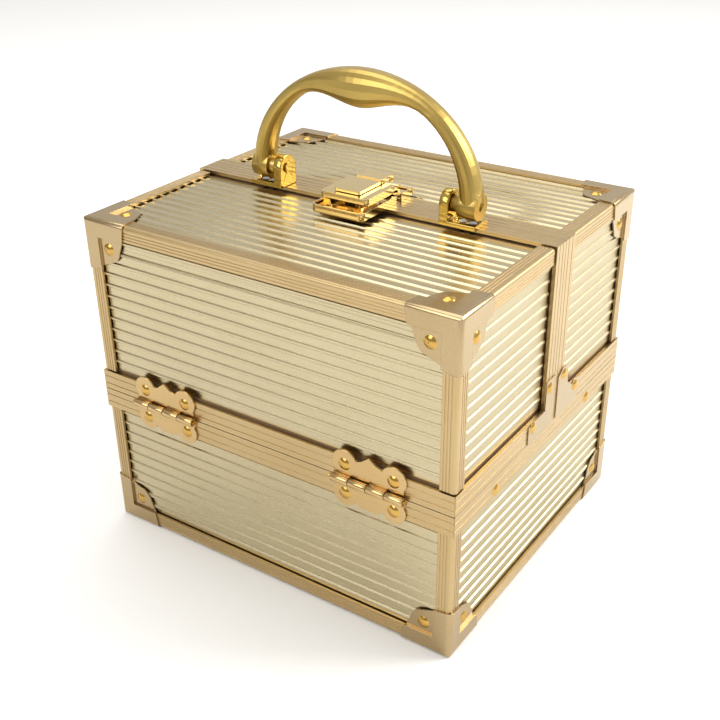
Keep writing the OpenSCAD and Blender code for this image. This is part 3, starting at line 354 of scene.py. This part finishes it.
@dataclass(frozen=True)
class DrawnProfile:
    """Anodised extrusion with fine lines drawn along each bar.

    The lines repeat with the distance from the edge that the bar runs along.

    Args:
        name: Name of the material and its process.
        color: Colour of the anodising.
        worn: Colour that it drifts towards in soft patches.
        half_mm: Distance of the edges' outer faces from the middle, in X and Y.
        heights_mm: Heights of the lowest and highest outer faces and of the belt seam.
        seam_y_mm: Place of the lid seam.
        line_mm: Distance between two lines.
        line_depth_mm: Depth of a line.
        grain_mm: Size of the anodising's grain, drawn coarser than it is so that it shows.
        patch_mm: Size of the soft patches.
        edge_mm: Radius that the light sees on edges.
    """

    name: str
    color: str
    worn: str
    half_mm: tuple[float, float] = (99.3, 84.3)
    heights_mm: tuple[float, float, float] = (0.7, 167.3, 77.3)
    seam_y_mm: float = 5.6
    line_mm: float = 1.45
    line_depth_mm: float = 0.05
    grain_mm: float = 0.3
    patch_mm: float = 30.0
    edge_mm: float = 0.25

    def plane_distance(
        self, tree: Tree, at: Socket, facing: Socket, plane_mm: float, mirrored: bool = False
    ) -> Socket:
        """Distance from a plane across one axis, pushed far off on faces that lie in that plane.

        Args:
            tree: Node tree to add to.
            at: Place along the axis.
            facing: Part of the normal along the axis.
            plane_mm: Place of the plane.
            mirrored: Whether the other side of the middle has the same plane.

        Returns:
            A value output socket in metres.
        """
        past_any_bar = 0.2
        if mirrored:
            at = add_node(tree, "ShaderNodeMath", {0: at}, operation="ABSOLUTE").outputs[0]
        gap = add_node(tree, "ShaderNodeMath", {0: at, 1: plane_mm * MM}, operation="SUBTRACT").outputs[0]
        size = add_node(tree, "ShaderNodeMath", {0: gap}, operation="ABSOLUTE").outputs[0]
        turned = add_node(tree, "ShaderNodeMath", {0: facing}, operation="ABSOLUTE").outputs[0]
        pushed = {0: turned, 1: past_any_bar, 2: size}
        return add_node(tree, "ShaderNodeMath", pushed, operation="MULTIPLY_ADD").outputs[0]

    def edge_distance(self, tree: Tree) -> Socket:
        """Distance from the nearest edge that the bar runs along, in the plane of the face.

        Args:
            tree: Node tree to add to.

        Returns:
            A value output socket in metres.
        """
        place = add_node(tree, "ShaderNodeTexCoord")
        at = add_node(tree, "ShaderNodeSeparateXYZ", {"Vector": place.outputs["Object"]}).outputs
        facing = add_node(tree, "ShaderNodeSeparateXYZ", {"Vector": place.outputs["Normal"]}).outputs
        planes = [
            self.plane_distance(tree, at[0], facing[0], self.half_mm[0], mirrored=True),
            self.plane_distance(tree, at[1], facing[1], self.half_mm[1], mirrored=True),
            self.plane_distance(tree, at[1], facing[1], self.seam_y_mm)]
        planes += [self.plane_distance(tree, at[2], facing[2], height) for height in self.heights_mm]
        nearest = planes[0]
        for plane in planes[1:]:
            nearest = add_node(tree, "ShaderNodeMath", {0: nearest, 1: plane}, operation="MINIMUM").outputs[0]
        return nearest

    def build(self) -> bpy.types.Material:
        """Builds the finish.

        Returns:
            The material.
        """
        material, tree = new_material(self.name)
        turns = 2 * math.pi / (self.line_mm * MM)
        distance = self.edge_distance(tree)
        phase = add_node(tree, "ShaderNodeMath", {0: distance, 1: turns}, operation="MULTIPLY").outputs[0]
        wave = add_node(tree, "ShaderNodeMath", {0: phase}, operation="COSINE").outputs[0]
        # Only the wave's crest is a groove: 0 in the groove, 1 on the flat between two.
        crest = {"Value": wave, "From Min": 0.55, "From Max": 1.0, "To Min": 1.0, "To Max": 0.0}
        line = add_node(tree, "ShaderNodeMapRange", crest).outputs["Result"]
        grain = noise_value(tree, self.grain_mm, detail=3.0)
        patches = noise_value(tree, self.patch_mm, detail=2.0)
        share = add_node(tree, "ShaderNodeMapRange", {"Value": patches} | noise_range(0.0, 0.6))
        tones = {0: share.outputs["Result"], 6: linear(self.color), 7: linear(self.worn)}
        tone = add_node(tree, "ShaderNodeMix", tones, data_type="RGBA")
        # Painted shade: the colour is darkened to 0.92 inside the grooves, where real shade would fall.
        shade = add_node(tree, "ShaderNodeMapRange", {"Value": line} | noise_range(0.92, 1.0))
        factors = {0: tone.outputs[2], 1: shade.outputs["Result"]}
        color = add_node(tree, "ShaderNodeVectorMath", factors, operation="MULTIPLY")
        height = add_node(tree, "ShaderNodeMath", {0: grain, 1: 0.08, 2: line}, operation="MULTIPLY_ADD")
        soft = add_node(tree, "ShaderNodeBevel", {"Radius": self.edge_mm * MM}, samples=4)
        relief = {"Height": height.outputs[0], "Distance": self.line_depth_mm * MM, "Strength": 0.45}
        bump = add_node(tree, "ShaderNodeBump", relief | {"Normal": soft.outputs[0]})
        rough = add_node(tree, "ShaderNodeMapRange", {"Value": grain} | noise_range(0.24, 0.38))
        return close_material(material, {
            "Base Color": color.outputs[0], "Metallic": 1.0,
            "Roughness": rough.outputs["Result"], "Normal": bump.outputs[0]})


class Finishes:
    """Every finish of the case, each built once."""

    def __init__(self) -> None:
        """Builds the finishes."""
        # Brushed and anodised sheet: a pale champagne sheen that streaks along the ribs.
        # Its brushing lines are drawn 0.22 mm apart, coarser than real ones, so that they show.
        self.skin_x = GoldMetal(
            "champagne_anodised_skin_along_x", "C4B796", "BCAE8A", (0.2, 0.32), 0.22, Run.X, 0.005).build()
        # The same sheet on the ends, duller, so that its ribs shine less where they face the light: rougher,
        # and its colour and worn colour painted a little darker than the other walls' sheet, as painted
        # shade.
        self.painted_shade_skin_y = GoldMetal(
            "champagne_anodised_skin_along_y_painted_shade", "BEB190", "B5A783", (0.3, 0.42), 0.22, Run.Y, 0.005).build()
        # Drawn and anodised bar: a tan satin face with fine grooves along it, their colour painted darker as
        # painted shade in the grooves.
        self.rail = DrawnProfile("tan_gold_anodised_extrusion", "C1A97D", "B69B6C").build()
        # Pressed and plated steel: smooth pale gold with soft glints on its folded edges.
        self.cap = GoldMetal(
            "pale_gold_plated_pressed_steel", "B5A07A", "A88F69", (0.14, 0.24), 0.8,
            grain_depth_mm=0.003, edge_mm=0.3).build()
        # Polished brass: a warmer, darker dome with one sharp glint.
        self.rivet = GoldMetal(
            "polished_brass_rivet", "C9A257", "B98F44", (0.1, 0.2), 0.9, grain_depth_mm=0.002).build()
        # Plated hinge steel: a clean warm gold that mirrors softly.
        self.hinge = GoldMetal(
            "warm_gold_plated_hinge_steel", "CBAE7C", "BC9A66", (0.12, 0.24), 0.6, Run.X, 0.003, 0.2).build()
        # Cast zinc, tumbled and plated: a satin yellow gold with long blurred highlights.
        self.handle = GoldMetal(
            "satin_gold_zinc_casting", "BFA55E", "A98C48", (0.26, 0.36), 0.5).build()
        # Polished plated steel: nearly a mirror, the brightest metal on the case.
        self.latch = GoldMetal(
            "polished_pale_gold_plated_steel", "DCC48C", "CFB478", (0.05, 0.14), 0.9,
            grain_depth_mm=0.002, edge_mm=0.25).build()
        # Polished cast zinc: a deep yellow mirror with rounded, liquid edges.
        self.bracket = GoldMetal(
            "polished_gold_zinc_bracket", "C8AC5C", "B4944A", (0.09, 0.18), 0.9,
            grain_depth_mm=0.002, edge_mm=0.4).build()
        # Zinc-plated steel: a cool grey satin that stands out from the gold.
        self.steel = GoldMetal(
            "zinc_plated_steel_link", "B9BBBC", "A6A8A8", (0.25, 0.4), 0.5, Run.Y, edge_mm=0.2).build()
        # Short-pile cloth: matt black with a grey bloom where the pile lies over.
        self.cloth = PileCloth("black_short_pile_lining", "0E0E10", "2A2A2E").build()
        # Flocked board: the same black with a finer, more even nap.
        self.tray = PileCloth("black_flocked_tray_board", "121214", "303034", 0.3).build()
        # Pressed fibreboard: dull brown with darker fibres along its length.
        self.board = Fibreboard("raw_fibreboard", "B08E64", "7E5F3E").build()
        # Silvered glass: a clear reflection with a faint haze and a green-grey edge.
        self.mirror = SilveredGlass("silvered_mirror_glass").build()


@dataclass(frozen=True)
class LiningPanel:
    """One wall of cloth, glued to the board, with a turned hem and slight puckers.

    Args:
        origin: Corner of the panel on the board, in metres.
        across: Edge vector of the panel.
        along: Other edge vector.
        inward: Unit vector from the board into the case.
        depth: Thickness of the cloth at the hem.
        grid: Spacing of the mesh.
        hem: Width of the turned hem.
        seam_at: Distance of the glue line from the panel's edge.
        seam_width: Width of the glue line.
        puckers: Sizes of the wide and of the narrow puckers.
    """

    origin: Vector
    across: Vector
    along: Vector
    inward: Vector
    depth: float
    grid: float = 3.5 * MM
    hem: float = 3 * MM
    seam_at: float = 5.5 * MM
    seam_width: float = 1.6 * MM
    puckers: tuple[float, float] = (18 * MM, 6 * MM)

    def thickness(self, u: float, v: float) -> float:
        """Thickness of the cloth at a place on the panel.

        Args:
            u: Distance across from the origin, in metres.
            v: Distance along from the origin.

        Returns:
            The thickness in metres, never more than the depth.
        """
        edge = min(u, v, self.across.length - u, self.along.length - v)
        if edge < self.hem:
            return self.depth
        seam = math.exp(-((edge - self.seam_at) / self.seam_width) ** 2)
        place = self.origin + self.across.normalized() * u + self.along.normalized() * v
        wide, narrow = (noise.noise(place / size) for size in self.puckers)
        pucker = 0.5 + 0.5 * wide + 0.15 * narrow
        return self.depth * (0.62 + 0.3 * min(max(pucker, 0.0), 1.0) - 0.25 * seam)

    def add_to(self, mesh: bmesh.types.BMesh) -> None:
        """Adds the panel to a mesh as a closed slab.

        Args:
            mesh: Mesh that the panel is added to.
        """
        columns = max(4, round(self.across.length / self.grid))
        rows = max(4, round(self.along.length / self.grid))
        sheets = []
        for is_inner in (False, True):
            sheet = []
            for i in range(columns + 1):
                line = []
                for j in range(rows + 1):
                    u, v = self.across.length * i / columns, self.along.length * j / rows
                    lift = self.thickness(u, v) if is_inner else 0.0
                    place = self.origin + self.across * (i / columns) + self.along * (j / rows)
                    line.append(mesh.verts.new(place + self.inward * lift))
                sheet.append(line)
            sheets.append(sheet)
        outer, inner = sheets
        for i in range(columns):
            for j in range(rows):
                mesh.faces.new((inner[i][j], inner[i + 1][j], inner[i + 1][j + 1], inner[i][j + 1]))
                mesh.faces.new((outer[i][j], outer[i][j + 1], outer[i + 1][j + 1], outer[i + 1][j]))
        rim = [(i, 0) for i in range(columns)] + [(columns, j) for j in range(rows)]
        rim += [(i, rows) for i in range(columns, 0, -1)] + [(0, j) for j in range(rows, 0, -1)]
        for (i, j), (k, m) in zip(rim, rim[1:] + rim[:1]):
            mesh.faces.new((outer[i][j], outer[k][m], inner[k][m], inner[i][j]))


@dataclass
class Lining:
    """Cloth lining that stands for one CAD lining.

    Args:
        node: CAD node that it replaces.
        body: Body that it rides on.
        open_sides: Sides of the box without cloth, as (axis, end) with end 0 low and 1 high.
        thickness_mm: Thickness of the CAD lining.
    """

    node: str
    body: str
    open_sides: list[tuple[int, int]]
    thickness_mm: float = 0.7

    def add_panel(self, mesh: bmesh.types.BMesh, axis: int, end: int) -> None:
        """Adds the cloth of one side of the box.

        Args:
            mesh: Mesh that the panel is added to.
            axis: Axis that the side faces along.
            end: 0 for the low side, 1 for the high one.
        """
        low, high = (Vector(corner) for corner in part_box(self.node))
        others = [other for other in range(3) if other != axis]
        edges = [Vector([high[i] - low[i] if i == other else 0.0 for i in range(3)]) for other in others]
        origin = low.copy()
        origin[axis] = high[axis] if end else low[axis]
        inward = Vector([(-1.0 if end else 1.0) if i == axis else 0.0 for i in range(3)])
        LiningPanel(origin, *edges, inward, self.thickness_mm * MM).add_to(mesh)

    def build(self, material: bpy.types.Material) -> None:
        """Adds the lining.

        Args:
            material: Cloth.
        """
        mesh = bmesh.new()
        sides = [(axis, end) for axis in range(3) for end in (0, 1)]
        for axis, end in sides:
            if (axis, end) not in self.open_sides:
                self.add_panel(mesh, axis, end)
        bmesh.ops.recalc_face_normals(mesh, faces=mesh.faces)
        data = bpy.data.meshes.new(self.node + "_cloth")
        mesh.to_mesh(data)
        mesh.free()
        for face in data.polygons:
            face.use_smooth = True
        data.materials.append(material)
        cloth = bpy.data.objects.new(self.node + "_cloth", data)
        bpy.context.collection.objects.link(cloth)
        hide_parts(self.node)
        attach(cloth, self.body)
        LOG.info("built %s", cloth.name)


@dataclass
class Dressing:
    """A group of CAD nodes that share a finish and an edge softening.

    Args:
        nodes: Names of the CAD nodes.
        edge_mm: Width of the rounding on their edges, 0 for none.
        angle_deg: Smallest edge angle that is rounded.
    """

    nodes: list[str]
    edge_mm: float = 0.0
    angle_deg: float = 35.0

    def soften(self, obj: bpy.types.Object) -> None:
        """Joins an object's facets and rounds its sharp edges.

        Args:
            obj: Object of one CAD node.
        """
        weld = obj.modifiers.new("join_facets", "WELD")
        weld.merge_threshold = 0.001 * MM
        bevel = obj.modifiers.new("soft_edges", "BEVEL")
        bevel.width = self.edge_mm * MM
        bevel.segments = 2
        bevel.limit_method = "ANGLE"
        bevel.angle_limit = math.radians(self.angle_deg)
        bevel.harden_normals = True
        bevel.use_clamp_overlap = True

    def dress(self, frame: dict, material: bpy.types.Material) -> None:
        """Gives the nodes their material and rounded edges.

        Args:
            material: Material that all of them take.
        """
        for name in self.nodes:
            obj = frame["nodes"][name]
            for slot in obj.material_slots:
                slot.material = material
            if not obj.material_slots:
                obj.data.materials.append(material)
            if self.edge_mm:
                self.soften(obj)
            LOG.info("dressed %s with %s", name, material.name)


@dataclass
class Case:
    """Base, lids and everything that is fixed to them.

    Args:
        skins_x: Ribbed walls whose ribs run along X.
        skins_y: Ribbed walls whose ribs run along Y.
        rails: Edge angles.
        frames: Frames round the mouths.
        caps: Corner caps and joint plates.
        rivets: Rivets and small pins.
        boards: Fibreboard behind the skins.
        linings: Cloth inside the base and the lids.
        mirror: Mirror in the rear lid.
    """

    skins_x: Dressing = field(default_factory=lambda: Dressing([
        "base_front_panel", "base_rear_panel", "base_floor", "front_lid_front_panel",
        "front_lid_top_panel", "rear_lid_rear_panel", "rear_lid_top_panel"], 0.12, 20.0))
    skins_y: Dressing = field(default_factory=lambda: Dressing([
        "base_end_panels", "front_lid_end_panels", "rear_lid_end_panels"], 0.12, 20.0))
    rails: Dressing = field(default_factory=lambda: Dressing([
        "base_rails", "front_lid_rails", "rear_lid_rails"]))
    frames: Dressing = field(default_factory=lambda: Dressing([
        "base_mouth_frame", "front_lid_mouth_frame", "rear_lid_mouth_frame"]))
    caps: Dressing = field(default_factory=lambda: Dressing([
        "base_corner_caps", "front_lid_corner_caps", "rear_lid_corner_caps",
        "front_lid_joint_plates", "rear_lid_joint_plates"], 0.2, 30.0))
    rivets: Dressing = field(default_factory=lambda: Dressing([
        "base_cap_rivets", "front_lid_rivets", "rear_lid_rivets", "base_arm_pins", "lock_tray_rivets",
        "catch_plate_rivets", "hinge_pins", "hasp_pin", "lever_pin", "catch_pin"]))
    boards: Dressing = field(default_factory=lambda: Dressing([
        "base_boards", "front_lid_boards", "rear_lid_boards"]))
    linings: list[Lining] = field(default_factory=lambda: [
        Lining("base_lining", "base", [(2, 1)]),
        Lining("front_lid_lining", "front_lid", [(2, 0), (1, 1)]),
        Lining("rear_lid_lining", "rear_lid", [(2, 0), (1, 0)])])
    mirror: Dressing = field(default_factory=lambda: Dressing(["mirror"], 0.5, 40.0))

    def dress(self, frame: dict, finishes: Finishes) -> None:
        """Gives every node of the case its finish.

        Args:
            finishes: Finishes of the case.
        """
        self.skins_x.dress(frame, finishes.skin_x)
        self.skins_y.dress(frame, finishes.painted_shade_skin_y)
        self.rails.dress(frame, finishes.rail)
        self.frames.dress(frame, finishes.rail)
        self.caps.dress(frame, finishes.cap)
        self.rivets.dress(frame, finishes.rivet)
        self.boards.dress(frame, finishes.board)
        for lining in self.linings:
            lining.build(finishes.cloth)
        self.mirror.dress(frame, finishes.mirror)


@dataclass
class Hardware:
    """Hinges, handle and latch.

    Args:
        hinges: Leaves of the four hinges.
        grip: Arched grip.
        brackets: Brackets that the grip swings in.
        pins: Pivot pins of the grip.
        screws: Screws of the brackets.
        latch: Tray, catch plate, hasp and lever.
    """

    hinges: Dressing = field(default_factory=lambda: Dressing([
        "hinge_base_leaves", "front_hinge_lid_leaves", "rear_hinge_lid_leaves"], 0.2, 35.0))
    grip: Dressing = field(default_factory=lambda: Dressing(["handle_grip"], 0.6, 50.0))
    brackets: Dressing = field(default_factory=lambda: Dressing(["handle_brackets"], 0.5, 35.0))
    pins: Dressing = field(default_factory=lambda: Dressing(["handle_pivot_pins"], 0.2, 35.0))
    screws: Dressing = field(default_factory=lambda: Dressing(["handle_bracket_screws"], 0.1, 35.0))
    latch: Dressing = field(default_factory=lambda: Dressing([
        "lock_tray", "catch_plate", "hasp", "latch_lever", "hasp_bracket"], 0.25, 35.0))

    def dress(self, frame: dict, finishes: Finishes) -> None:
        """Gives every node of the hardware its finish.

        Args:
            finishes: Finishes of the case.
        """
        self.hinges.dress(frame, finishes.hinge)
        self.grip.dress(frame, finishes.handle)
        self.brackets.dress(frame, finishes.bracket)
        self.pins.dress(frame, finishes.bracket)
        self.screws.dress(frame, finishes.steel)
        self.latch.dress(frame, finishes.latch)


@dataclass
class Trays:
    """The two lifting trays and their arms.

    Args:
        boxes: Floors, walls and dividers of the trays.
        arms: Links that lift the trays, and their pins.
    """

    boxes: Dressing = field(default_factory=lambda: Dressing([
        "front_tray_floor", "front_tray_walls", "front_tray_dividers",
        "rear_tray_floor", "rear_tray_walls", "rear_tray_dividers"], 0.35, 40.0))
    arms: Dressing = field(default_factory=lambda: Dressing([
        "front_tray_arms", "rear_tray_arms", "front_lid_tray_pins", "rear_lid_tray_pins"], 0.15, 40.0))

    def dress(self, frame: dict, finishes: Finishes) -> None:
        """Gives every node of the trays its finish.

        Args:
            finishes: Finishes of the case.
        """
        self.boxes.dress(frame, finishes.tray)
        self.arms.dress(frame, finishes.steel)


@dataclass(frozen=True)
class SoftBox:
    """Square area light that faces the case.

    Args:
        name: Name of the light.
        place: Place of the light in metres.
        size: Length of its sides in metres.
        watts: Power.
        aim: Point that it faces, the middle of the box.
    """

    name: str
    place: Place
    size: float
    watts: float
    aim: Place = (0.0, 0.0, 0.09)

    def build(self) -> None:
        """Adds the light."""
        data = bpy.data.lights.new(self.name, "AREA")
        data.size = self.size
        data.energy = self.watts
        light = bpy.data.objects.new(self.name, data)
        light.location = self.place
        towards = Vector(self.aim) - Vector(self.place)
        light.rotation_euler = towards.to_track_quat("-Z", "Y").to_euler()
        bpy.context.collection.objects.link(light)


@dataclass
class Studio:
    """Camera, pale floor and soft light.

    Args:
        camera_at: Place of the camera in metres.
        camera_turn: Rotation of the camera in degrees, in XYZ order.
        lens: Focal length on the sensor.
        sensor: Width of the sensor in millimetres.
        shift: Lens shift across and up.
        floor_size: Length of the floor's sides in metres.
        paper_mm: Size of the paper's mottle.
        bright_side: Direction that the surround is brightest in.
        surround: Lowest and highest strength of the surround.
        lights: Soft boxes.
    """

    camera_at: Place = (0.2682, -0.3996, 0.3414)
    camera_turn: Place = (60.956, 0.882, 34.493)
    lens: float = 53.73
    sensor: float = 36.0
    shift: tuple[float, float] = (0.0167, 0.0222)
    floor_size: float = 6.0
    paper_mm: float = 1.5
    bright_side: Place = (0.45, 0.75, 0.35)
    surround: tuple[float, float] = (0.42, 1.0)
    lights: tuple[SoftBox, ...] = (
        SoftBox("key_softbox", (0.75, 0.65, 0.8), 0.7, 12.0),
        SoftBox("top_softbox", (-0.3, 0.2, 1.3), 1.0, 6.0),
        SoftBox("front_softbox", (-0.4, -1.1, 0.9), 0.8, 6.0))

    def build_camera(self) -> None:
        """Adds the camera."""
        data = bpy.data.cameras.new("camera")
        data.lens = self.lens
        data.sensor_width = self.sensor
        data.shift_x, data.shift_y = self.shift
        data.clip_start = 10 * MM
        camera = bpy.data.objects.new("camera", data)
        camera.location = self.camera_at
        camera.rotation_euler = [math.radians(angle) for angle in self.camera_turn]
        bpy.context.collection.objects.link(camera)
        bpy.context.scene.camera = camera

    def build_floor(self) -> None:
        """Adds the pale floor, of matt paper that takes a shadow and has no shine."""
        bpy.ops.mesh.primitive_plane_add(size=self.floor_size, location=(0.0, 0.0, 0.0))
        floor = bpy.context.object
        floor.name = "studio_floor"
        material, tree = new_material("matt_white_paper")
        tones = {0: noise_value(tree, self.paper_mm), 6: linear("FBFBFA"), 7: linear("FFFFFF")}
        color = add_node(tree, "ShaderNodeMix", tones, data_type="RGBA")
        close_material(material, {"Base Color": color.outputs[2], "Roughness": 1.0})
        floor.data.materials.append(material)

    def build_world(self) -> None:
        """Adds a surround that is dimmer towards the front left, and plain white where it is seen."""
        world = bpy.data.worlds.new("soft_surround")
        bpy.context.scene.world = world
        world.use_nodes = True
        tree = world.node_tree
        tree.nodes.clear()
        direction = add_node(tree, "ShaderNodeTexCoord").outputs["Generated"]
        ends = {0: direction, 1: self.bright_side}
        side = add_node(tree, "ShaderNodeVectorMath", ends, operation="DOT_PRODUCT")
        low, high = self.surround
        inputs = {"Value": side.outputs["Value"], "From Min": -1.0, "From Max": 1.0}
        inputs |= {"To Min": low, "To Max": high}
        strength = add_node(tree, "ShaderNodeMapRange", inputs).outputs["Result"]
        soft = add_node(tree, "ShaderNodeBackground", {"Color": linear("FFFDF9"), "Strength": strength})
        seen = add_node(tree, "ShaderNodeBackground", {"Color": linear("FFFFFF"), "Strength": 1.0})
        is_camera = add_node(tree, "ShaderNodeLightPath").outputs["Is Camera Ray"]
        mixed = add_node(tree, "ShaderNodeMixShader", {0: is_camera, 1: soft.outputs[0], 2: seen.outputs[0]})
        add_node(tree, "ShaderNodeOutputWorld", {"Surface": mixed.outputs[0]})

    def build(self) -> None:
        """Adds everything of the studio."""
        self.build_camera()
        self.build_floor()
        self.build_world()
        for light in self.lights:
            light.build()
        bpy.context.scene.view_settings.view_transform = "Standard"
        LOG.info("studio ready")


def main() -> None:
    """Builds the whole scene."""
    logging.basicConfig(level=logging.INFO, format="%(message)s")
    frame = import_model()
    finishes = Finishes()
    Case().dress(frame, finishes)
    Hardware().dress(frame, finishes)
    Trays().dress(frame, finishes)
    Studio().build()


if __name__ == "__main__":
    main()
